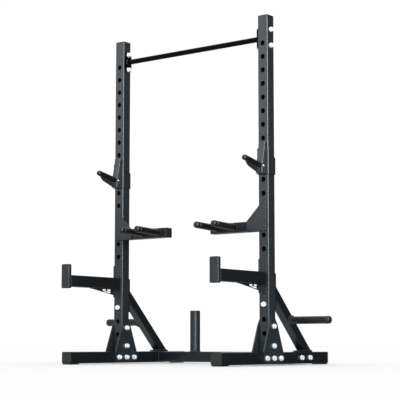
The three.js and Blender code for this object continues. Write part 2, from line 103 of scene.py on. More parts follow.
def linear(hex_colour):
    """The linear colour of an sRGB hex value such as "#33383c"."""
    channels = (int(hex_colour[i : i + 2], 16) / 255 for i in (1, 3, 5))
    return tuple(c / 12.92 if c <= 0.04045 else ((c + 0.055) / 1.055) ** 2.4 for c in channels)


def hole_height(index):
    """Height of an adjustment hole, counted from 0 at the bottom."""
    tubes = bpy.context.scene.rack_tubes
    return tubes.first_hole + index * tubes.pitch


def length(name, default, description):
    """A length that a user can change, in metres."""
    return FloatProperty(
        name=name, default=default, min=0.0, unit="LENGTH", description=description
    )


def colour(name, hex_colour, description):
    """A colour that a user can change."""
    return FloatVectorProperty(
        name=name,
        default=linear(hex_colour),
        min=0.0,
        max=1.0,
        subtype="COLOR",
        description=description,
    )


class RackTubes(bpy.types.PropertyGroup):
    """Sizes of the tubes, their holes and their welds."""

    corner: length("Corner", 0.008, "Outside corner radius of the square tubes")
    wall: length("Wall", 0.003, "Wall thickness of the tubes")
    edge: length("Edge", 0.0007, "Rounding that the coating leaves on a cut edge")
    hole: length("Hole", 0.030, "Diameter of the adjustment holes")
    pitch: length("Pitch", 0.081, "Distance between adjustment holes")
    first_hole: length("First Hole", 0.180, "Height of the lowest adjustment hole")
    holes: IntProperty(name="Holes", default=22, min=1, description="Adjustment holes in an upright")
    pin: length("Pin", 0.027, "Diameter of a pin that locks in an adjustment hole")
    weld: length("Weld", 0.0032, "Radius of a weld bead")
    ripple: length("Ripple", 0.0042, "Distance between the ripples of a weld bead")
    segments: IntProperty(name="Segments", default=48, min=12, description="Sides of a round piece")


class RackHardware(bpy.types.PropertyGroup):
    """Sizes of the hexagon bolts."""

    shank: length("Shank", 0.016, "Bolt diameter")
    flats: length("Across Flats", 0.024, "Width of the head and the nut")
    head: length("Head", 0.010, "Height of the head")
    nut: length("Nut", 0.013, "Height of the nut")
    thread: length("Thread End", 0.004, "Thread that stands out of the nut")
    thread_pitch: length("Thread Pitch", 0.002, "Distance between the threads")
    washer_width: length("Washer Width", 0.030, "Diameter of the washer")
    washer: length("Washer", 0.003, "Thickness of the washer")


class RackFinishes(bpy.types.PropertyGroup):
    """Colours of the finishes."""

    frame_paint: colour("Frame Paint", "#181c1f", "Powder coat of the frame")
    attachment_paint: colour("Attachment Paint", "#181b1e", "Powder coat of the attachments")
    cradle_paint: colour("Cradle Paint", "#1c2023", "Powder coat of the J-cup wedges")
    bar_paint: colour("Bar Paint", "#050606", "Matt paint of the pull-up bar")
    zinc: colour("Zinc", "#e4e7ea", "Zinc flake coat of the bolts")
    plastic: colour("Plastic", "#0f1112", "Moulded caps")
    rubber: colour("Rubber", "#070808", "Grips and pads")


class RackStage(bpy.types.PropertyGroup):
    """Camera, floor and light."""

    eye: FloatVectorProperty(
        name="Eye",
        default=(4.6556, -6.0619, 0.1215),
        subtype="TRANSLATION",
        description="Camera position",
    )
    turn: FloatVectorProperty(
        name="Turn",
        default=(math.radians(96.53), 0.0, math.radians(37.32)),
        subtype="EULER",
        description="Camera rotation",
    )
    lens: FloatProperty(
        name="Lens", default=113.2, min=1.0, description="Focal length in millimetres"
    )
    floor: colour("Floor", "#fdfdfd", "Pale studio floor")


# ---------------------------------------------------------------- bmesh helpers


def block(bm, low, high):
    """A block between two corners."""
    low, high = Vector(low), Vector(high)
    verts = bmesh.ops.create_cube(bm, size=1.0)["verts"]
    bmesh.ops.scale(bm, vec=high - low, verts=verts)
    bmesh.ops.translate(bm, vec=(low + high) / 2, verts=verts)
    return verts


def edges_of(verts):
    return list({edge for vert in verts for edge in vert.link_edges})


def runs_along(edge, direction):
    """True if the edge runs along the direction."""
    return abs((edge.verts[1].co - edge.verts[0].co).normalized().dot(direction)) > 0.999


def round_edges(bm, edges, radius, segments=6):
    bmesh.ops.bevel(
        bm, geom=edges, offset=radius, segments=segments, profile=0.5, affect="EDGES", material=-1
    )


def rounded_block(bm, low, high, direction, radius, segments=6):
    """A block whose edges along one direction are rounded."""
    verts = block(bm, low, high)
    round_edges(bm, [e for e in edges_of(verts) if runs_along(e, direction)], radius, segments)


def square_tube(low, high, direction, corner, wall):
    """A hollow square tube, open at both ends, whose length runs along one direction."""
    bm = bmesh.new()
    rounded_block(bm, low, high, direction, corner)
    ends = [f for f in bm.faces if abs(f.normal.dot(direction)) > 0.999]
    bmesh.ops.inset_individual(bm, faces=ends, thickness=wall, use_even_offset=True)
    rims = list({edge for face in ends for edge in face.edges})
    bmesh.ops.delete(bm, geom=ends, context="FACES_ONLY")
    bmesh.ops.bridge_loops(bm, edges=rims)
    bmesh.ops.recalc_face_normals(bm, faces=bm.faces)
    return bm


def trim(bm, place, normal):
    """Removes what lies beyond a plane, and returns the geometry on the cut."""
    everything = [*bm.verts, *bm.edges, *bm.faces]
    return bmesh.ops.bisect_plane(
        bm, geom=everything, plane_co=place, plane_no=normal, clear_outer=True
    )["geom_cut"]


def extrude_outline(bm, points, depth):
    """A prism on a flat outline of 3-D points, extruded by the depth vector."""
    face = bm.faces.new([bm.verts.new(p) for p in points])
    top = bmesh.ops.extrude_face_region(bm, geom=[face])["geom"]
    moved = [v for v in top if isinstance(v, bmesh.types.BMVert)]
    bmesh.ops.translate(bm, vec=depth, verts=moved)
    bmesh.ops.recalc_face_normals(bm, faces=bm.faces)


def arc(radius, centre, start, end, steps):
    """Points (distance from the axis, height) on an arc, with its angles in degrees."""
    angles = (math.radians(start + (end - start) * i / steps) for i in range(steps + 1))
    return [(centre[0] + radius * math.cos(a), centre[1] + radius * math.sin(a)) for a in angles]


def lathe(bm, profile, base, direction, segments):
    """A closed turned shape. The profile is (distance from the axis, height above the base) points.

    It starts and ends on the axis, or closes on itself for a ring.
    """
    turn = Vector(direction).normalized().to_track_quat("Z", "Y").to_matrix().to_4x4()
    place = Matrix.Translation(base) @ turn
    verts = [bm.verts.new(place @ Vector((r, 0, h))) for r, h in profile]
    pairs = list(zip(verts, verts[1:]))
    if profile[0][0] > 0:
        pairs.append((verts[-1], verts[0]))
    edges = [bm.edges.new(pair) for pair in pairs]
    bmesh.ops.spin(
        bm,
        geom=verts + edges,
        cent=base,
        axis=direction,
        angle=2 * math.pi,
        steps=segments,
        use_merge=True,
    )
    bmesh.ops.remove_doubles(bm, verts=bm.verts, dist=1e-6)
    bmesh.ops.recalc_face_normals(bm, faces=bm.faces)


def rod(bm, radius, base, end, edge, segments):
    """A solid round bar between two points whose rims are rounded."""
    base, end = Vector(base), Vector(end)
    size = (end - base).length
    profile = [(0, 0), *arc(edge, (radius - edge, edge), -90, 0, 3)]
    profile += [*arc(edge, (radius - edge, size - edge), 0, 90, 3), (0, size)]
    lathe(bm, profile, base, end - base, segments)


def cad_copy(*nodes):
    """A clean copy of CAD nodes' meshes, with flat regions joined into single faces."""
    bm = bmesh.new()
    for node in nodes:
        bm.from_mesh(frame["nodes"][node].data)
    bmesh.ops.remove_doubles(bm, verts=bm.verts, dist=1e-5)
    bmesh.ops.dissolve_limit(bm, angle_limit=math.radians(1), verts=bm.verts, edges=bm.edges)
    return bm


def mesh_of(bm, name):
    mesh = bpy.data.meshes.new(name)
    bm.to_mesh(mesh)
    bm.free()
    return mesh


def cut(bm, cutters):
    """The first shape with the second cut out of it."""
    scene = bpy.context.scene
    whole = bpy.data.objects.new("whole", mesh_of(bm, "whole"))
    tool = bpy.data.objects.new("tool", mesh_of(cutters, "tool"))
    for obj in (whole, tool):
        scene.collection.objects.link(obj)
    modifier = whole.modifiers.new("cut", "BOOLEAN")
    modifier.object = tool
    modifier.operation = "DIFFERENCE"
    modifier.solver = "EXACT"
    bpy.context.view_layer.update()
    result = bmesh.new()
    result.from_mesh(whole.evaluated_get(bpy.context.evaluated_depsgraph_get()).to_mesh())
    for obj in (whole, tool):
        mesh = obj.data
        bpy.data.objects.remove(obj)
        bpy.data.meshes.remove(mesh)
    return result


def piece(name, bm, body, slot, nodes=(), edge=0.0, coat=None):
    """A finished piece: its mesh, shading, edge rounding, material and body, with the CAD nodes that
    it stands for hidden.

    The material is the slot's own, unless another coat is named.
    """
    mesh = mesh_of(bm, name)
    mesh.shade_smooth()
    mesh.set_sharp_from_angle(angle=SHARP_ANGLE)
    obj = bpy.data.objects.new(name, mesh)
    bpy.context.scene.collection.objects.link(obj)
    if edge > 0:
        bevel = obj.modifiers.new("edge", "BEVEL")
        bevel.width = edge
        bevel.segments = 2
        bevel.limit_method = "ANGLE"
        bevel.angle_limit = SHARP_ANGLE
        bevel.harden_normals = True
    # Large flat faces keep their own normal, so that a tube's sides are flat up to its corners.
    weighted = obj.modifiers.new("weighted", "WEIGHTED_NORMAL")
    weighted.keep_sharp = True
    mesh.materials.append(finish(coat or slot))
    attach(obj, body)
    if nodes:
        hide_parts(*nodes)
    return obj


# ---------------------------------------------------------------- finishes


def add_node(material, kind, inputs=(), **settings):
    """Adds a node with its settings, and links or sets its inputs."""
    node = material.node_tree.nodes.new(kind)
    for name, value in settings.items():
        setattr(node, name, value)
    for socket, value in dict(inputs).items():
        if isinstance(value, bpy.types.NodeSocket):
            material.node_tree.links.new(value, node.inputs[socket])
        else:
            node.inputs[socket].default_value = value
    return node


def noise(material, place, millimetres, detail, **inputs):
    """Noise whose features are that many millimetres across."""
    inputs.update({"Vector": place, "Scale": 1000.0 / millimetres, "Detail": detail})
    return add_node(material, "ShaderNodeTexNoise", inputs).outputs["Fac"]


def cells(material, place, millimetres, randomness):
    """Rounded cells that are that many millimetres across."""
    inputs = {"Vector": place, "Scale": 1000.0 / millimetres, "Randomness": randomness}
    voronoi = add_node(material, "ShaderNodeTexVoronoi", inputs, feature="SMOOTH_F1")
    return voronoi.outputs["Distance"]


def remap(material, value, start, end, low, high):
    """The value, with the range from start to end turned into low to high."""
    inputs = {"Value": value, "From Min": start, "From Max": end, "To Min": low, "To Max": high}
    return add_node(material, "ShaderNodeMapRange", inputs).outputs["Result"]


def blend(material, value, *stops):
    """Colours along the value, from two (position, colour) stops."""
    ramp = add_node(material, "ShaderNodeValToRGB", {"Fac": value})
    for element, (position, stop_colour) in zip(ramp.color_ramp.elements, stops):
        element.position = position
        element.color = stop_colour
    return ramp.outputs["Color"]


def bump(material, height, strength, distance, **inputs):
    """A surface normal raised by the height, by at most the distance in metres."""
    inputs.update({"Height": height, "Strength": strength, "Distance": distance})
    return add_node(material, "ShaderNodeBump", inputs).outputs["Normal"]


def new_material(name):
    """An empty material, and the object coordinates that its textures follow."""
    material = bpy.data.materials.new(name)
    material.use_nodes = True
    material.node_tree.nodes.clear()
    return material, add_node(material, "ShaderNodeTexCoord").outputs["Object"]


def surfaced(material, inputs):
    """The material, finished with a surface of those inputs."""
    shader = add_node(material, "ShaderNodeBsdfPrincipled", inputs).outputs["BSDF"]
    add_node(material, "ShaderNodeOutputMaterial", {"Surface": shader})
    return material


def shade(colour_value, factor):
    return tuple(min(1.0, c * factor) for c in colour_value) + (1.0,)


def powder_coat(name, base, specular=0.55):
    """Satin powder coat on steel, sprayed and baked: a fine orange peel over a slow flow.

    The tone drifts a little with the thickness of the coat, and handling leaves faint rubbed patches.
    """
    material, place = new_material(name)
    # The coat's thickness drifts over about 180 mm.
    drift = noise(material, place, 180, 2.0)
    tone = remap(material, drift, 0.3, 0.7, 0.0, 1.0)
    coat = blend(material, tone, (0.0, shade(base, 0.86)), (1.0, shade(base, 1.16)))
    # Rubbed patches from handling, about 35 mm across with broken edges.
    rubbed = noise(material, place, 35, 6.0, Roughness=0.65)
    gloss = remap(material, rubbed, 0.35, 0.7, 0.34, 0.26)
    # Orange peel is about 1.2 mm across. It is drawn at 2.5 mm so that it shows.
    peel = noise(material, place, 2.5, 3.0)
    # The coat flows in a slow wave, about 14 mm long.
    flow = noise(material, place, 14, 1.0)
    wave = bump(material, flow, 0.25, 0.0006)
    inputs = {
        "Base Color": coat,
        "Roughness": gloss,
        "Metallic": 0.0,
        "IOR": 1.52,
        "Specular IOR Level": specular,
        "Specular Tint": (0.88, 0.95, 1.0, 1.0),
        "Normal": bump(material, peel, 0.3, 0.00025, Normal=wave),
    }
    return surfaced(material, inputs)


def matt_bar_coat(name, base):
    """The same coat in the pull-up bar's near-black colour, with little shine."""
    return powder_coat(name, base, specular=0.08)


def zinc_flake(name, base):
    """Zinc and aluminium flakes in a clear binder, dipped and baked on forged steel.

    Whitish silver and satin, faintly blue or straw in patches, over the scale of the forging.
    """
    material, place = new_material(name)
    # The film changes tint over about 9 mm.
    film = noise(material, place, 9, 3.0)
    blue = (base[0] * 0.90, base[1] * 0.96, base[2] * 1.02, 1.0)
    straw = (base[0], base[1] * 0.98, base[2] * 0.90, 1.0)
    # The grain of the forging is about 0.6 mm. It is drawn at 1.1 mm so that it shows.
    grain = noise(material, place, 1.1, 4.0)
    inputs = {
        "Base Color": blend(material, film, (0.35, blue), (0.68, straw)),
        "Metallic": 0.5,
        "Roughness": remap(material, film, 0.3, 0.7, 0.34, 0.46),
        "Normal": bump(material, grain, 0.25, 0.00012),
    }
    return surfaced(material, inputs)


def moulded_plastic(name, base):
    """Injection-moulded polyethylene: matt spark-eroded grain with slow flow marks in the gloss."""
    material, place = new_material(name)
    # Spark-eroded grain is about 0.4 mm. It is drawn at 0.9 mm so that it shows.
    grain = cells(material, place, 0.9, 1.0)
    # Flow marks of about 22 mm from the mould.
    flow = noise(material, place, 22, 2.0)
    inputs = {
        "Base Color": blend(material, flow, (0.0, shade(base, 0.85)), (1.0, shade(base, 1.2))),
        "Roughness": remap(material, flow, 0.3, 0.7, 0.42, 0.54),
        "IOR": 1.51,
        "Normal": bump(material, grain, 0.3, 0.0001),
    }
    return surfaced(material, inputs)


def moulded_rubber(name, base):
    """Moulded EPDM rubber: near black, with a fine pebble grain and a light bloom of dust."""
    material, place = new_material(name)
    # Pebble grain of about 1.4 mm.
    pebble = cells(material, place, 1.4, 0.9)
    # Bloom drifts over about 28 mm.
    bloom = noise(material, place, 28, 5.0)
    inputs = {
        "Base Color": blend(material, bloom, (0.4, shade(base, 0.8)), (0.8, shade(base, 1.7))),
        "Roughness": remap(material, bloom, 0.3, 0.75, 0.34, 0.46),
        "IOR": 1.5,
        "Normal": bump(material, pebble, 0.25, 0.00015),
    }
    return surfaced(material, inputs)


FINISHES = {
    "frame_paint": ("satin_powder_coat", powder_coat),
    "attachment_paint": ("satin_powder_coat_attachments", powder_coat),
    "cradle_paint": ("grey_powder_coat", powder_coat),
    "bar_paint": ("matt_black_bar_coat", matt_bar_coat),
    "zinc": ("zinc_flake_coat", zinc_flake),
    "plastic": ("moulded_polyethylene", moulded_plastic),
    "rubber": ("moulded_rubber", moulded_rubber),
}


def finish(slot):
    """The material of a slot, made when it is first asked for."""
    name, make = FINISHES[slot]
    found = bpy.data.materials.get(name)
    if found:
        return found
    return make(name, tuple(getattr(bpy.context.scene.rack_finishes, slot)))


# ---------------------------------------------------------------- hardware


def hexagon(bm, base, direction, height, flats, turn):
    """A hexagon prism whose far end is turned to a 30 degree cone, as on a bolt head."""
    sides = 36
    face_radius = 0.47 * flats
    place = (
        Matrix.Translation(base)
        @ Vector(direction).to_track_quat("Z", "Y").to_matrix().to_4x4()
        @ Matrix.Rotation(turn, 4, "Z")
    )
    ring = bmesh.ops.create_circle(bm, cap_ends=True, radius=1.0, segments=sides)["verts"]
    for vert in ring:
        angle = math.atan2(vert.co.y, vert.co.x)
        offset = (angle + math.pi / 6) % (math.pi / 3) - math.pi / 6
        vert.co *= flats / 2 / math.cos(offset)
    bottom = [f for f in ring[0].link_faces][0]
    shoulder = bmesh.ops.extrude_face_region(bm, geom=[bottom])["geom"]
    shoulder_verts = [g for g in shoulder if isinstance(g, bmesh.types.BMVert)]
    for vert in shoulder_verts:
        vert.co.z = height - (vert.co.length - face_radius) * math.tan(math.radians(30))
    cap = [g for g in shoulder if isinstance(g, bmesh.types.BMFace)]
    top = bmesh.ops.extrude_face_region(bm, geom=cap)["geom"]
    top_verts = [g for g in top if isinstance(g, bmesh.types.BMVert)]
    for vert in top_verts:
        flat = Vector((vert.co.x, vert.co.y, 0)).normalized() * face_radius
        vert.co = Vector((flat.x, flat.y, height))
    for vert in ring + shoulder_verts + top_verts:
        vert.co = place @ vert.co


def add_bolt(bm, seat, far_seat, turn=0.0, nut=True):
    """A bolt from the face under its head's washer to the face under its nut's washer."""
    hardware = bpy.context.scene.rack_hardware
    seat, far_seat = Vector(seat), Vector(far_seat)
    out = (seat - far_seat).normalized()
    segments = 32
    gap = 0.0002
    edge = 0.0004
    thick = hardware.washer
    radius = hardware.shank / 2
    start = seat + out * gap
    rod(bm, hardware.washer_width / 2, start, start + out * thick, edge, segments)
    hexagon(bm, start + out * thick, out, hardware.head, hardware.flats, turn)
    rod(bm, radius * 0.98, far_seat, seat, edge, segments)
    if not nut:
        return
    start = far_seat - out * gap
    rod(bm, hardware.washer_width / 2, start, start - out * thick, edge, segments)
    start -= out * thick
    hexagon(bm, start, -out, hardware.nut, hardware.flats, turn + 0.4)
    start -= out * hardware.nut
    profile = [(0, -hardware.thread_pitch)]
    turns = round(hardware.thread / hardware.thread_pitch)
    for i in range(turns):
        height = i * hardware.thread_pitch
        profile += [(radius * 0.88, height), (radius, height + hardware.thread_pitch / 2)]
    profile += [(radius * 0.86, hardware.thread), (0, hardware.thread)]
    lathe(bm, profile, start, -out, segments)


def dome(bm, base, direction, radius, height):
    """A low domed stud end with a narrow ring round it."""
    steps = 6
    ring = 0.0015
    profile = [(0, 0), (radius, 0), (radius, ring), (radius * 0.82, ring)]
    for i in range(1, steps + 1):
        angle = math.pi / 2 * i / steps
        profile.append((radius * 0.82 * math.cos(angle), ring + height * math.sin(angle)))
    profile[-1] = (0, ring + height)
    lathe(bm, profile, base, direction, 28)


def add_pin(bm, x, front, back, height, radius, segments):
    """A locking pin along Y with a chamfered nose and a groove that keeps it in its hole."""
    nose = 0.004
    groove = 0.0012
    size = back - front
    profile = [(0, 0), (radius, 0), (radius, size * 0.62), (radius - groove, size * 0.62 + groove)]
    profile += [(radius - groove, size * 0.62 + 4 * groove), (radius, size * 0.62 + 5 * groove)]
    profile += [(radius, size - nose), *arc(nose, (radius - nose, size - nose), 0, 70, 4), (0, size)]
    lathe(bm, profile, Vector((x, front, height)), Y, segments)


# ---------------------------------------------------------------- welds


def rounded_loop(centre, across, up, width, height, radius):
    """Points round a rectangle with rounded corners, in the plane of two directions."""
    points = []
    corners = ((1, 1, 0), (-1, 1, 90), (-1, -1, 180), (1, -1, 270))
    for side, rise, start in corners:
        pivot = (side * (width / 2 - radius), rise * (height / 2 - radius))
        for u, v in arc(radius, pivot, start, start + 90, 5):
            points.append(Vector(centre) + across * u + up * v)
    return points


def ring_loop(centre, across, up, radius):
    return [Vector(centre) + across * u + up * v for u, v in arc(radius, (0, 0), 0, 352.5, 47)]


def even_points(points, closed, step):
    """The same route with points a step apart."""
    route = [*points, points[0]] if closed else list(points)
    spans = [(b - a).length for a, b in zip(route, route[1:])]
    total = sum(spans)
    count = max(2, round(total / step))
    made = []
    index, passed = 0, 0.0
    for i in range(count if closed else count + 1):
        target = total * i / count
        while index < len(spans) - 1 and passed + spans[index] < target:
            passed += spans[index]
            index += 1
        share = (target - passed) / spans[index] if spans[index] else 0.0
        made.append(route[index].lerp(route[index + 1], min(1.0, share)))
    return made, total / count


def weld(name, body, slot, runs):
    """Rippled weld beads along routes. A run is (points, whether the route closes)."""
    tubes = bpy.context.scene.rack_tubes
    curve = bpy.data.curves.new(name, "CURVE")
    curve.dimensions = "3D"
    curve.bevel_depth = tubes.weld
    curve.bevel_resolution = 2
    curve.use_fill_caps = True
    for points, closed in runs:
        route, step = even_points(points, closed, tubes.ripple / 4)
        spline = curve.splines.new("POLY")
        spline.points.add(len(route) - 1)
        ripples = max(1, round(len(route) * step / tubes.ripple))
        for i, (target, place) in enumerate(zip(spline.points, route)):
            wave = math.cos(2 * math.pi * ripples * i / len(route))
            drift = math.sin(0.37 * i) * math.sin(0.11 * i + 1.3)
            target.co = (*place, 1.0)
            target.radius = 1.0 + 0.13 * wave + 0.05 * drift
        spline.use_cyclic_u = closed
    holder = bpy.data.objects.new(name + "_route", curve)
    bpy.context.scene.collection.objects.link(holder)
    bpy.context.view_layer.update()
    bm = bmesh.new()
    bm.from_mesh(holder.evaluated_get(bpy.context.evaluated_depsgraph_get()).to_mesh())
    bmesh.ops.remove_doubles(bm, verts=bm.verts, dist=1e-6)
    bmesh.ops.recalc_face_normals(bm, faces=bm.faces)
    bpy.data.objects.remove(holder)
    bpy.data.curves.remove(curve)
    piece(name, bm, body, slot)


# ---------------------------------------------------------------- frame


class RACK_OT_uprights(bpy.types.Operator):
    """Make the two drilled uprights"""

    bl_idname = "rack.uprights"
    bl_label = "Uprights"

    def execute(self, context):
        tubes = context.scene.rack_tubes
        for side, _ in SIDES:
            node = f"upright_{side}"
            low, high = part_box(node)
            centre = (low + high) / 2
            holes = bmesh.new()
            for index in range(tubes.holes):
                height = hole_height(index)
                start = Vector((centre.x, 2 * low.y - centre.y, height))
                end = Vector((centre.x, 2 * high.y - centre.y, height))
                rod(holes, tubes.hole / 2, start, end, 0.001, 36)
            tube = cut(square_tube(low, high, Z, tubes.corner, tubes.wall), holes)
            piece(f"upright_tube_{side}", tube, "frame", "frame_paint", [node], tubes.edge)
        return {"FINISHED"}


def tube_lid(bm, low, high, direction, lip, tubes, crown):
    """A moulded tube end: a lip with a crowned face, and a plug inside the tube.

    The direction points out of the tube.
    """
    out = Vector(direction)
    face = low if sum(out) < 0 else high
    axis = [abs(c) for c in out].index(1.0)
    lip_low, lip_high = Vector(low), Vector(high)
    plug_low, plug_high = Vector(low), Vector(high)
    step = face[axis] - lip * out[axis]
    if out[axis] > 0:
        lip_low[axis] = step
        plug_high[axis] = step + 0.0001
    else:
        lip_high[axis] = step
        plug_low[axis] = step - 0.0001
    rounded_block(bm, lip_low, lip_high, out, tubes.corner)
    rim = [e for e in bm.edges if all(abs(v.co[axis] - face[axis]) < 1e-6 for v in e.verts)]
    round_edges(bm, rim, crown, 3)
    margin = tubes.wall + 0.0004
    for i in range(3):
        if i != axis:
            plug_low[i] += margin
            plug_high[i] -= margin
    rounded_block(bm, plug_low, plug_high, out, tubes.corner - tubes.wall, 4)


class RACK_OT_upright_lids(bpy.types.Operator):
    """Make the moulded caps on top of the uprights"""

    bl_idname = "rack.upright_lids"
    bl_label = "Upright Lids"

    def execute(self, context):
        tubes = context.scene.rack_tubes
        for side, _ in SIDES:
            node = f"upright_cap_{side}"
            low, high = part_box(node)
            bm = bmesh.new()
            tube_lid(bm, low, high, Z, 0.004, tubes, 0.0018)
            piece(f"upright_lid_{side}", bm, "frame", "plastic", [node])
        return {"FINISHED"}


class RACK_OT_feet(bpy.types.Operator):
    """Make the two long feet with their moulded ends and rubber pads"""

    bl_idname = "rack.feet"
    bl_label = "Feet"

    def execute(self, context):
        tubes = context.scene.rack_tubes
        for side, _ in SIDES:
            low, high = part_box(f"foot_{side}")
            tube = square_tube(low, high, Y, tubes.corner, tubes.wall)
            piece(f"foot_tube_{side}", tube, "frame", "frame_paint", [f"foot_{side}"], tubes.edge)
            for end, out in (("front", -Y), ("rear", Y)):
                node = f"foot_cap_{side}_{end}"
                bm = bmesh.new()
                tube_lid(bm, *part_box(node), out, 0.012, tubes, 0.0016)
                piece(f"foot_end_{side}_{end}", bm, "frame", "plastic", [node])
                node = f"foot_pad_{side}_{end}"
                low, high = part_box(node)
                bm = bmesh.new()
                rounded_block(bm, low, high, Z, 0.006)
                piece(f"foot_sole_{side}_{end}", bm, "frame", "rubber", [node], 0.0009)
        return {"FINISHED"}


class RACK_OT_gussets(bpy.types.Operator):
    """Make the gusset plates where the uprights meet the feet"""

    bl_idname = "rack.gussets"
    bl_label = "Gussets"

    def execute(self, context):
        edge = 0.003
        for side, _ in SIDES:
            for face in ("inner", "outer"):
                node = f"gusset_{side}_{face}"
                plate = cad_copy(node)
                piece(f"gusset_plate_{side}_{face}", plate, "frame", "frame_paint", [node], edge)
        return {"FINISHED"}


class RACK_OT_gusset_bolts(bpy.types.Operator):
    """Make the bolts through the gussets"""

    bl_idname = "rack.gusset_bolts"
    bl_label = "Gusset Bolts"

    def execute(self, context):
        for side, sign in SIDES:
            outer, inner = (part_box(f"gusset_{side}_{face}") for face in ("outer", "inner"))
            head_face = outer[1].x if sign > 0 else outer[0].x
            nut_face = inner[0].x if sign > 0 else inner[1].x
            for number, name in enumerate(("top", "middle", "front", "centre", "rear")):
                node = f"gusset_bolt_{side}_{name}"
                low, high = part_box(node)
                _, y, z = (low + high) / 2
                bm = bmesh.new()
                add_bolt(bm, (head_face, y, z), (nut_face, y, z), turn=0.5 + 0.9 * number)
                piece(f"gusset_hex_bolt_{side}_{name}", bm, "frame", "zinc", [node])
        return {"FINISHED"}


def end_flanges(bm, low, high, corner):
    """Flanges at both ends of a piece that runs along X."""
    rounded_block(bm, low, (low.x + PLATE, high.y, high.z), X, corner)
    rounded_block(bm, (high.x - PLATE, low.y, low.z), high, X, corner)


class RACK_OT_crossmember(bpy.types.Operator):
    """Make the rear crossmember with its end flanges and bolts"""

    bl_idname = "rack.crossmember"
    bl_label = "Crossmember"

    def execute(self, context):
        tubes = context.scene.rack_tubes
        low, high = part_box("crossmember")
        centre = (low + high) / 2
        bolt_reach = 0.0445
        bm = bmesh.new()
        start = (low.x + PLATE / 2, centre.y - CROSS_DEPTH / 2, low.z)
        end = (high.x - PLATE / 2, centre.y + CROSS_DEPTH / 2, high.z)
        rounded_block(bm, start, end, X, tubes.corner)
        end_flanges(bm, low, high, 0.006)
        piece("crossmember_tube", bm, "frame", "frame_paint", ["crossmember"], tubes.edge)
        for side, sign in SIDES:
            foot_low, foot_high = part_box(f"foot_{side}")
            outer = foot_high.x if sign > 0 else foot_low.x
            end = sign * (high.x - PLATE / 2)
            bm = bmesh.new()
            for number, y in enumerate((centre.y - bolt_reach, centre.y + bolt_reach)):
                add_bolt(bm, (outer, y, centre.z), (end, y, centre.z), turn=0.3 + number, nut=False)
            piece(f"crossmember_bolts_{side}", bm, "frame", "zinc")
        return {"FINISHED"}


class RACK_OT_bar_sleeve(bpy.types.Operator):
    """Make the sleeve that stores a bar upright"""

    bl_idname = "rack.bar_sleeve"
    bl_label = "Bar Sleeve"

    def execute(self, context):
        low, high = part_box("bar_holder")
        centre = (low + high) / 2
        radius = (high.x - low.x) / 2
        wall = 0.004
        rise = high.z - low.z
        lip = wall / 2
        bm = bmesh.new()
        profile = [(0, 0), (radius, 0), *arc(lip, (radius - lip, rise - lip), 0, 180, 8)]
        profile += [(radius - wall, wall), (0, wall)]
        lathe(bm, profile, Vector((centre.x, centre.y, low.z)), Z, context.scene.rack_tubes.segments)
        piece("bar_sleeve", bm, "frame", "frame_paint", ["bar_holder"])
        return {"FINISHED"}


class RACK_OT_braces(bpy.types.Operator):
    """Make the raking braces with their flanges and bolts"""

    bl_idname = "rack.braces"
    bl_label = "Braces"

    def execute(self, context):
        tubes = context.scene.rack_tubes
        half = BRACE_WIDTH / 2
        flange_half = 0.066 / 2
        top_length, foot_length = 0.210, 0.116
        reach = 0.5  # longer than the brace, to be trimmed
        lift = 0.006  # the bolt hangs in the top of its hole
        for side, _ in SIDES:
            node = f"brace_{side}"
            low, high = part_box(node)
            x = (low.x + high.x) / 2
            bm = bmesh.new()
            rounded_block(bm, (-half, -half, -reach), (half, half, reach), Z, BRACE_CORNER)
            line = brace_line()
            middle = Vector((x, line / 2 + Y_SHIFT, line / 2))
            bmesh.ops.rotate(bm, verts=bm.verts, matrix=Matrix.Rotation(math.pi / 4, 3, "X"))
            bmesh.ops.translate(bm, verts=bm.verts, vec=middle)
            for plane, normal in (
                (Vector((x, low.y + PLATE / 2, 0)), -Y),
                (Vector((x, 0, low.z + PLATE / 2)), -Z),
            ):
                rim = [g for g in trim(bm, plane, normal) if isinstance(g, bmesh.types.BMEdge)]
                bmesh.ops.contextual_create(bm, geom=rim)
            top = (x - flange_half, low.y, high.z - top_length)
            rounded_block(bm, top, (x + flange_half, low.y + PLATE, high.z), Y, tubes.corner)
            foot = (x - flange_half, high.y - foot_length, low.z)
            rounded_block(bm, foot, (x + flange_half, high.y, low.z + PLATE), Z, tubes.corner)
            bmesh.ops.recalc_face_normals(bm, faces=bm.faces)
            piece(f"brace_tube_{side}", bm, "frame", "frame_paint", [node], tubes.edge)
            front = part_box(f"upright_{side}")[0].y
            lower = hole_height(2) + lift
            upper = hole_height(4)
            bm = bmesh.new()
            add_bolt(bm, (x, front, lower), (x, low.y + PLATE, lower), turn=0.2)
            rear = (x, low.y + PLATE, upper)
            add_bolt(bm, rear, (x, low.y - 0.02, upper), turn=0.7, nut=False)
            piece(f"brace_bolts_{side}", bm, "frame", "zinc")
        return {"FINISHED"}


def brace_line():
    """Depth behind the uprights plus height, the same all along the brace's centreline."""
    peg_low, peg_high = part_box("plate_peg_left")
    centre = (peg_low + peg_high) / 2
    return centre.y - Y_SHIFT + centre.z


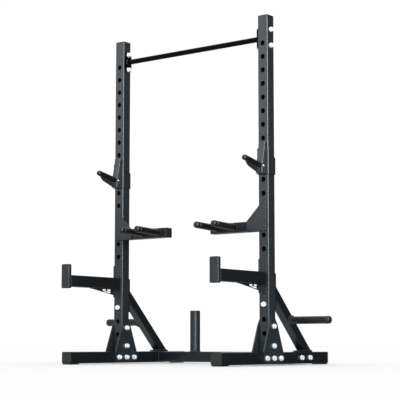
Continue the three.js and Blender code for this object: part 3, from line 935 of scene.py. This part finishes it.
class RACK_OT_plate_pegs(bpy.types.Operator):
    """Make the plate pegs on the braces"""

    bl_idname = "rack.plate_pegs"
    bl_label = "Plate Pegs"

    def execute(self, context):
        segments = context.scene.rack_tubes.segments
        collar, radius = COLLAR_RADIUS, PEG_RADIUS
        rim = 0.0012
        cap, edge = 0.027, 0.010
        for side, sign in SIDES:
            low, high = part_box(f"plate_peg_{side}")
            _, y, z = (low + high) / 2
            start = low.x if sign > 0 else high.x
            size = high.x - low.x
            bm = bmesh.new()
            profile = [(0, 0), *arc(rim, (collar - rim, rim), -90, 0, 3)]
            profile += [*arc(rim, (collar - rim, COLLAR_WIDTH - rim), 0, 90, 3)]
            profile += [(radius, COLLAR_WIDTH), (radius, size), (0, size)]
            lathe(bm, profile, Vector((start, y, z)), sign * X, segments)
            piece(f"peg_tube_{side}", bm, "frame", "frame_paint", [f"plate_peg_{side}"])
            low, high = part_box(f"plate_peg_cap_{side}")
            tip = high.x if sign > 0 else low.x
            bm = bmesh.new()
            profile = [(0, 0), (radius, 0), (radius + 0.0006, 0.001), (radius + 0.0006, 0.006)]
            profile += [(radius, 0.007), *arc(edge, (radius - edge, cap - edge), 0, 90, 7), (0, cap)]
            lathe(bm, profile, Vector((tip - sign * cap, y, z)), sign * X, segments)
            piece(f"peg_end_{side}", bm, "frame", "plastic", [f"plate_peg_cap_{side}"])
        return {"FINISHED"}


class RACK_OT_pull_up_bar(bpy.types.Operator):
    """Make the pull-up bar with its flanges and bolts"""

    bl_idname = "rack.pull_up_bar"
    bl_label = "Pull-up Bar"

    def execute(self, context):
        tubes = context.scene.rack_tubes
        low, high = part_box("pull_up_bar")
        centre = (low + high) / 2
        bolt_reach = 0.048
        bm = bmesh.new()
        start = Vector((low.x + PLATE / 2, centre.y, centre.z))
        end = Vector((high.x - PLATE / 2, centre.y, centre.z))
        rod(bm, BAR_RADIUS, start, end, 0.0005, tubes.segments)
        end_flanges(bm, low, high, 0.018)
        node = "pull_up_bar"
        piece("pull_up_tube", bm, "frame", "frame_paint", [node], tubes.edge, coat="bar_paint")
        for side, sign in SIDES:
            upright_low, upright_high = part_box(f"upright_{side}")
            outer = upright_high.x if sign > 0 else upright_low.x
            bm = bmesh.new()
            for number, z in enumerate((centre.z - bolt_reach, centre.z + bolt_reach)):
                nut_face = sign * (high.x - PLATE)
                add_bolt(bm, (outer, centre.y, z), (nut_face, centre.y, z), turn=0.1 + 0.7 * number)
            piece(f"pull_up_bolts_{side}", bm, "frame", "zinc")
        return {"FINISHED"}


# ---------------------------------------------------------------- attachments


class RACK_OT_j_cups(bpy.types.Operator):
    """Make the J-cups: a channel round the upright, a leaning wedge, and a rod"""

    bl_idname = "rack.j_cups"
    bl_label = "J-cups"

    def execute(self, context):
        tubes = context.scene.rack_tubes
        sheet = 0.006
        shoulder = 0.059
        top_rear = -0.028 + Y_SHIFT
        hook = hole_height(CUP_HOLE)
        for side, _ in SIDES:
            body = f"j_cup_{side}"
            node = f"j_cup_bracket_{side}"
            low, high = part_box(node)
            x = (low.x + high.x) / 2
            bm = bmesh.new()
            outline = [(low.x, high.y), (low.x, low.y), (high.x, low.y), (high.x, high.y)]
            outline += [(high.x - sheet, high.y), (high.x - sheet, low.y + sheet)]
            outline += [(low.x + sheet, low.y + sheet), (low.x + sheet, high.y)]
            extrude_outline(bm, [(u, v, low.z) for u, v in outline], Z * (high.z - low.z))
            for radius, depth, inset in ((0.008, low.y, 0), (0.002, low.y + sheet, sheet)):
                bends = [
                    e
                    for e in bm.edges
                    if runs_along(e, Z)
                    and abs(e.verts[0].co.y - depth) < 1e-5
                    and abs(abs(e.verts[0].co.x - x) - (high.x - x - inset)) < 1e-5
                ]
                round_edges(bm, bends, radius, 5)
            slope = Vector((0, shoulder, high.y - top_rear)).normalized()
            trim(bm, Vector((x, high.y, high.z - shoulder)), slope)
            bmesh.ops.holes_fill(bm, edges=bm.edges, sides=0)
            add_pin(bm, x, low.y + sheet / 2, low.y + 0.064, hook, tubes.pin / 2, 32)
            bmesh.ops.recalc_face_normals(bm, faces=bm.faces)
            piece(f"cup_channel_{side}", bm, body, "attachment_paint", [node], tubes.edge)
            self.wedge(side, body, x)
            self.rod(side, body, x)
        return {"FINISHED"}

    def wedge(self, side, body, x):
        """The leaning wedge, the rib that carries the rod, and the stud in the wedge's side."""
        node = f"j_cup_cradle_{side}"
        low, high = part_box(node)
        half = (high.x - low.x) / 2
        back = high.y
        bm = bmesh.new()
        outline = [(0, 0), *CUP_FRONT, (0, CUP_FRONT[-1][1])]
        points = [(x - half, back + y, low.z + z) for y, z in outline]
        extrude_outline(bm, points, X * 2 * half)
        nose = [
            e
            for e in bm.edges
            if all(v.co.y < back - 0.005 for v in e.verts)
            and abs(e.verts[0].co.x - e.verts[1].co.x) < 1e-6
        ]
        round_edges(bm, nose, 0.005, 5)
        piece(f"cup_wedge_{side}", bm, body, "cradle_paint", [node], 0.001)
        web = 0.004
        bm = bmesh.new()
        points = [(x - web, back + y, low.z + z) for y, z in [*CUP_RIB, CUP_RIB_ROOT]]
        extrude_outline(bm, points, X * 2 * web)
        piece(f"cup_rib_{side}", bm, body, "attachment_paint", edge=0.0008)
        bm = bmesh.new()
        dome(bm, (x + half - 0.0002, back - 0.0235, low.z + 0.045), X, 0.005, 0.0025)
        dome(bm, (x - half + 0.0002, back - 0.0235, low.z + 0.045), -X, 0.005, 0.0025)
        piece(f"cup_studs_{side}", bm, body, "zinc")

    def rod(self, side, body, x):
        """The rubber-sleeved rod that the bar rests on, tilted up to its tip."""
        node = f"j_cup_rod_{side}"
        low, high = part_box(node)
        radius = (high.x - low.x) / 2
        tilt = math.radians(CUP_TILT)
        along = Vector((0, -math.cos(tilt), math.sin(tilt)))
        tip = Vector((x, low.y + radius, high.z - radius))
        base = tip - along * ((high.y - low.y - radius - radius * math.sin(tilt)) / math.cos(tilt))
        size = (tip - base).length
        bm = bmesh.new()
        collar = radius + 0.0016
        profile = [(0, 0), (collar, 0), (collar, 0.006), (radius, 0.0075)]
        profile += [*arc(radius, (0, size), 0, 90, 14)]
        profile[-1] = (0, size + radius)
        lathe(bm, profile, base, along, 40)
        piece(f"cup_rod_{side}", bm, body, "rubber", [node])


class RACK_OT_dip_arms(bpy.types.Operator):
    """Make the dip arms: a hook plate, a square arm and two grips"""

    bl_idname = "rack.dip_arms"
    bl_label = "Dip Arms"

    def execute(self, context):
        tubes = context.scene.rack_tubes
        lid = 0.004
        hook = hole_height(DIP_HOLE)
        for side, sign in SIDES:
            body = f"dip_{side}"
            node = f"dip_bracket_{side}"
            low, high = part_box(node)
            arm_low, arm_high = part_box(f"dip_arm_{side}")
            inner, outer = (low.x, high.x) if sign > 0 else (high.x, low.x)
            upright = sum(c.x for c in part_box(f"upright_{side}")) / 2
            shoulder = arm_high.z
            bm = bmesh.new()
            outline = [
                (outer, low.z),
                (outer, high.z),
                (inner + sign * (high.z - shoulder), high.z),
                (inner, shoulder),
                (inner, low.z),
            ]
            extrude_outline(bm, [(u, low.y, v) for u, v in outline], Y * PLATE)
            corners = [e for e in bm.edges if runs_along(e, Y)]
            round_edges(bm, corners, 0.004, 4)
            add_pin(bm, upright, low.y + PLATE / 2, high.y, hook, tubes.pin / 2, 32)
            bmesh.ops.recalc_face_normals(bm, faces=bm.faces)
            piece(f"dip_plate_{side}", bm, body, "attachment_paint", [node], tubes.edge)
            bm = bmesh.new()
            dome(bm, (upright, low.y + 0.0002, hook), -Y, 0.0085, 0.002)
            piece(f"dip_stud_{side}", bm, body, "attachment_paint")

            low, high = Vector(arm_low), Vector(arm_high)
            tube_low, tube_high = Vector(low), Vector(high)
            if sign > 0:
                tube_low.x += lid
            else:
                tube_high.x -= lid
            tube = square_tube(tube_low, tube_high, X, 0.006, tubes.wall)
            node = f"dip_arm_{side}"
            piece(f"dip_tube_{side}", tube, body, "attachment_paint", [node], tubes.edge)
            bm = bmesh.new()
            free = (low, (low.x + lid, high.y, high.z))
            if sign < 0:
                free = ((high.x - lid, low.y, low.z), high)
            rounded_block(bm, *free, X, 0.006)
            piece(f"dip_lid_{side}", bm, body, "plastic", edge=0.0012)
            for place in ("inner", "outer"):
                self.grip(side, place, body)
        return {"FINISHED"}

    def grip(self, side, place, body):
        """A moulded rubber sleeve over a bar, with a collar at its root and a soft end."""
        node = f"dip_grip_{side}_{place}"
        low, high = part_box(node)
        arm_low, arm_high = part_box(f"dip_arm_{side}")
        radius = (high.x - low.x) / 2
        tilt = math.radians(GRIP_TILT)
        root = radius * math.sin(tilt)
        size = (high.y - low.y) / math.cos(tilt) - 1.5 * root
        soft = 0.012
        groove = 0.0008
        bm = bmesh.new()
        profile = [(0, 0), (radius - 0.002, 0), (radius - 0.002, 0.004), (radius, 0.0055)]
        for height in (size - 0.034, size - 0.028):
            profile += [(radius, height), (radius - groove, height + groove)]
            profile += [(radius - groove, height + 2 * groove), (radius, height + 3 * groove)]
        profile += [*arc(soft, (radius - soft, size - soft), 0, 90, 9), (0, size)]
        base = Vector(((low.x + high.x) / 2, high.y - root, (arm_low.z + arm_high.z) / 2))
        along = Vector((0, -math.cos(tilt), math.sin(tilt)))
        lathe(bm, profile, base, along, bpy.context.scene.rack_tubes.segments)
        piece(f"dip_sleeve_{side}_{place}", bm, body, "rubber", [node])


class RACK_OT_spotters(bpy.types.Operator):
    """Make the spotter arms: a hook plate, an arm, a gusset and an end stop"""

    bl_idname = "rack.spotters"
    bl_label = "Spotter Arms"

    def execute(self, context):
        tubes = context.scene.rack_tubes
        hook = hole_height(SPOTTER_HOLE)
        for side, _ in SIDES:
            body = f"spotter_{side}"
            node = f"spotter_bracket_{side}"
            low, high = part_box(node)
            x = (low.x + high.x) / 2
            bm = bmesh.new()
            rounded_block(bm, low, (high.x, low.y + PLATE, high.z), Y, 0.004)
            add_pin(bm, x, low.y + PLATE / 2, high.y, hook, tubes.pin / 2, 32)
            piece(f"spotter_plate_{side}", bm, body, "attachment_paint", [node], tubes.edge)
            bm = bmesh.new()
            for height in (hook, low.z + 0.027):
                dome(bm, (x + 0.016, low.y + 0.0002, height), -Y, 0.006, 0.002)
            piece(f"spotter_studs_{side}", bm, body, "attachment_paint")
            node = f"spotter_arm_{side}"
            tube = square_tube(*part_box(node), Y, tubes.corner, tubes.wall)
            piece(f"spotter_tube_{side}", tube, body, "attachment_paint", [node], tubes.edge)
            node = f"spotter_stop_{side}"
            bm = bmesh.new()
            rounded_block(bm, *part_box(node), Y, 0.008, 8)
            piece(f"spotter_end_{side}", bm, body, "attachment_paint", [node], 0.002)
            node = f"spotter_gusset_{side}"
            piece(f"spotter_web_{side}", cad_copy(node), body, "attachment_paint", [node], 0.0008)
        return {"FINISHED"}


class RACK_OT_welds(bpy.types.Operator):
    """Lay the weld beads where tubes meet plates"""

    bl_idname = "rack.welds"
    bl_label = "Welds"

    def execute(self, context):
        tubes = context.scene.rack_tubes
        self.frame_welds(tubes)
        for side, sign in SIDES:
            self.attachment_welds(side, sign, tubes)
        return {"FINISHED"}

    def frame_welds(self, tubes):
        slant = math.sqrt(2)
        runs = []
        low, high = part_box("crossmember")
        centre = (low + high) / 2
        for x in (low.x + PLATE, high.x - PLATE):
            size = (CROSS_DEPTH, high.z - low.z)
            loop = rounded_loop((x, centre.y, centre.z), Y, Z, *size, tubes.corner)
            runs.append((loop, True))
        low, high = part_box("bar_holder")
        centre = (low + high) / 2
        runs.append((ring_loop((centre.x, centre.y, low.z), X, Y, (high.x - low.x) / 2), True))
        low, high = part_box("pull_up_bar")
        centre = (low + high) / 2
        for x in (low.x + PLATE, high.x - PLATE):
            runs.append((ring_loop((x, centre.y, centre.z), Y, Z, BAR_RADIUS), True))
        line = brace_line()
        for side, sign in SIDES:
            low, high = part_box(f"brace_{side}")
            x = (low.x + high.x) / 2
            depth = low.y + PLATE
            height = low.z + PLATE
            upper = (x, depth, line - (depth - Y_SHIFT))
            lower = (x, line - height + Y_SHIFT, height)
            for centre, up in ((upper, Z), (lower, Y)):
                size = (BRACE_WIDTH, BRACE_WIDTH * slant)
                runs.append((rounded_loop(centre, X, up, *size, BRACE_CORNER), True))
            low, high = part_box(f"plate_peg_{side}")
            _, y, z = (low + high) / 2
            face = low.x if sign > 0 else high.x
            runs.append((ring_loop((face, y, z), Y, Z, COLLAR_RADIUS), True))
            runs.append((ring_loop((face + sign * COLLAR_WIDTH, y, z), Y, Z, PEG_RADIUS), True))
        weld("frame_weld_beads", "frame", "frame_paint", runs)

    def attachment_welds(self, side, sign, tubes):
        plate_low, plate_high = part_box(f"dip_bracket_{side}")
        low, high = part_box(f"dip_arm_{side}")
        inner = plate_low.x if sign > 0 else plate_high.x
        end = high.x if sign > 0 else low.x
        back = plate_low.y + PLATE
        runs = []
        for z in (low.z, high.z):
            runs.append(([Vector((inner + sign * 0.004, back, z)), Vector((end, back, z))], False))
        upright_run = [Vector((inner, back, z)) for z in (low.z + 0.006, high.z - 0.006)]
        runs.append((upright_run, False))
        for place in ("inner", "outer"):
            grip_low, grip_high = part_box(f"dip_grip_{side}_{place}")
            radius = (grip_high.x - grip_low.x) / 2 - 0.002
            root = ((grip_low.x + grip_high.x) / 2, grip_high.y, (low.z + high.z) / 2)
            runs.append((ring_loop(root, X, Z, radius), True))
        weld(f"dip_weld_beads_{side}", f"dip_{side}", "attachment_paint", runs)

        low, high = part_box(f"spotter_arm_{side}")
        centre = (low + high) / 2
        runs = []
        for y in (high.y, low.y):
            loop = rounded_loop(
                (centre.x, y, centre.z), X, Z, high.x - low.x, high.z - low.z, tubes.corner
            )
            runs.append((loop, True))
        web_low, web_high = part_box(f"spotter_gusset_{side}")
        for x in (web_low.x, web_high.x):
            top = [Vector((x, web_low.y + 0.012, web_high.z)), Vector((x, web_high.y, web_high.z))]
            rear = [Vector((x, web_high.y, web_low.z + 0.004)), Vector((x, web_high.y, web_high.z))]
            runs.append((top, False))
            runs.append((rear, False))
        weld(f"spotter_weld_beads_{side}", f"spotter_{side}", "attachment_paint", runs)


# ---------------------------------------------------------------- stage


def soft_box(name, place, target, width, height, power, skips):
    """A rectangular soft light at a place, facing a target, that the camera doesn't see.

    It doesn't light what the collection leaves out.
    """
    light = bpy.data.lights.new(name, "AREA")
    light.shape = "RECTANGLE"
    light.size = width
    light.size_y = height
    light.energy = power
    obj = bpy.data.objects.new(name, light)
    obj.location = place
    obj.rotation_euler = (Vector(target) - Vector(place)).to_track_quat("-Z", "Y").to_euler()
    obj.visible_camera = False
    obj.light_linking.receiver_collection = skips
    bpy.context.scene.collection.objects.link(obj)


def left_out(name, objects):
    """A collection of objects that a light doesn't reach."""
    skipped = bpy.data.collections.new(name)
    for obj in objects:
        skipped.objects.link(obj)
    for entry in skipped.collection_objects:
        entry.light_linking.link_state = "EXCLUDE"
    return skipped


class RACK_OT_stage(bpy.types.Operator):
    """Set the camera, the pale floor and the soft light"""

    bl_idname = "rack.stage"
    bl_label = "Stage"

    def execute(self, context):
        scene = context.scene
        stage = scene.rack_stage
        camera = bpy.data.cameras.new("camera")
        camera.lens = stage.lens
        camera_object = bpy.data.objects.new("camera", camera)
        camera_object.location = stage.eye
        camera_object.rotation_euler = stage.turn
        scene.collection.objects.link(camera_object)
        scene.camera = camera_object
        scene.view_settings.view_transform = "Standard"

        bm = bmesh.new()
        bmesh.ops.create_grid(bm, x_segments=1, y_segments=1, size=60.0)
        bmesh.ops.translate(bm, verts=bm.verts, vec=(0, 0, -0.0004))
        floor = bpy.data.objects.new("studio_floor", mesh_of(bm, "studio_floor"))
        scene.collection.objects.link(floor)
        floor.data.materials.append(self.floor_material(tuple(stage.floor)))
        floor.visible_glossy = False
        level = ("foot_tube_", "crossmember_tube", "pull_up_tube", "brace_tube_", "peg_tube_")
        level += ("dip_tube_", "spotter_tube_")
        tubes = [obj for obj in scene.objects if obj.name.startswith(level)]
        shade_only = left_out("floor_in_open_shade", [floor])
        soft_tops = left_out("floor_and_level_tubes", [floor, *tubes])

        self.world(scene)
        soft_box("corner_light", (5.1, -3.9, 2.6), (0, 0, 1.7), 4.4, 3.4, 800, soft_tops)
        soft_box("front_light", (-3.2, -4.6, 3.2), (0, 0, 1.6), 3.4, 3.0, 48, soft_tops)
        soft_box("top_light", (0.3, -0.4, 4.6), (0, 0, 0), 3.2, 3.2, 100, shade_only)
        soft_box("rear_light", (-2.6, 4.6, 2.6), (0, 0, 1.0), 3.0, 3.0, 30, shade_only)
        return {"FINISHED"}

    def floor_material(self, base):
        """Matt painted studio floor, with a roller's faint tone."""
        material, place = new_material("matt_studio_paint")
        # The roller's tone changes over about 400 mm.
        tone = noise(material, place, 400, 2.0)
        paint = blend(material, tone, (0.0, shade(base, 0.99)), (1.0, shade(base, 1.0)))
        inputs = {"Base Color": paint, "Roughness": 0.9, "Specular IOR Level": 0.2}
        return surfaced(material, inputs)

    def world(self, scene):
        """White surroundings, with a dimmer side in what glossy surfaces reflect."""
        world = bpy.data.worlds.new("studio")
        world.use_nodes = True
        scene.world = world
        world.node_tree.nodes.clear()
        direction = add_node(world, "ShaderNodeTexCoord").outputs["Generated"]
        facing = {0: direction, 1: DIM_SIDE}
        side = add_node(world, "ShaderNodeVectorMath", facing, operation="DOT_PRODUCT")
        reflected = remap(world, side.outputs["Value"], 0.2, 0.85, 0.6, 0.03)
        rays = add_node(world, "ShaderNodeLightPath")
        inputs = {"Factor": rays.outputs["Is Glossy Ray"], "A": 1.04, "B": reflected}
        level = add_node(world, "ShaderNodeMix", inputs).outputs["Result"]
        light = add_node(world, "ShaderNodeBackground", {"Strength": level}).outputs["Background"]
        light.node.inputs["Color"].default_value = (1, 1, 1, 1)
        add_node(world, "ShaderNodeOutputWorld", {"Surface": light})


# ---------------------------------------------------------------- add-on

PROPERTY_GROUPS = (RackTubes, RackHardware, RackFinishes, RackStage)
OPERATORS = (
    RACK_OT_uprights,
    RACK_OT_upright_lids,
    RACK_OT_feet,
    RACK_OT_gussets,
    RACK_OT_gusset_bolts,
    RACK_OT_crossmember,
    RACK_OT_bar_sleeve,
    RACK_OT_braces,
    RACK_OT_plate_pegs,
    RACK_OT_pull_up_bar,
    RACK_OT_j_cups,
    RACK_OT_dip_arms,
    RACK_OT_spotters,
    RACK_OT_welds,
    RACK_OT_stage,
)


class RACK_PT_panel(bpy.types.Panel):
    """Buttons for the pieces of the rack and its stage"""

    bl_label = "Half Rack"
    bl_idname = "RACK_PT_panel"
    bl_space_type = "VIEW_3D"
    bl_region_type = "UI"
    bl_category = "Half Rack"

    def draw(self, context):
        for operator in OPERATORS:
            self.layout.operator(operator.bl_idname)


def register():
    for cls in (*PROPERTY_GROUPS, *OPERATORS, RACK_PT_panel):
        bpy.utils.register_class(cls)
    bpy.types.Scene.rack_tubes = PointerProperty(type=RackTubes)
    bpy.types.Scene.rack_hardware = PointerProperty(type=RackHardware)
    bpy.types.Scene.rack_finishes = PointerProperty(type=RackFinishes)
    bpy.types.Scene.rack_stage = PointerProperty(type=RackStage)


def unregister():
    for name in ("rack_stage", "rack_finishes", "rack_hardware", "rack_tubes"):
        delattr(bpy.types.Scene, name)
    for cls in reversed((*PROPERTY_GROUPS, *OPERATORS, RACK_PT_panel)):
        bpy.utils.unregister_class(cls)


def main():
    register()
    bpy.ops.rack.uprights()
    bpy.ops.rack.upright_lids()
    bpy.ops.rack.feet()
    bpy.ops.rack.gussets()
    bpy.ops.rack.gusset_bolts()
    bpy.ops.rack.crossmember()
    bpy.ops.rack.bar_sleeve()
    bpy.ops.rack.braces()
    bpy.ops.rack.plate_pegs()
    bpy.ops.rack.pull_up_bar()
    bpy.ops.rack.j_cups()
    bpy.ops.rack.dip_arms()
    bpy.ops.rack.spotters()
    bpy.ops.rack.welds()
    bpy.ops.rack.stage()


if __name__ == "__main__":
    main()
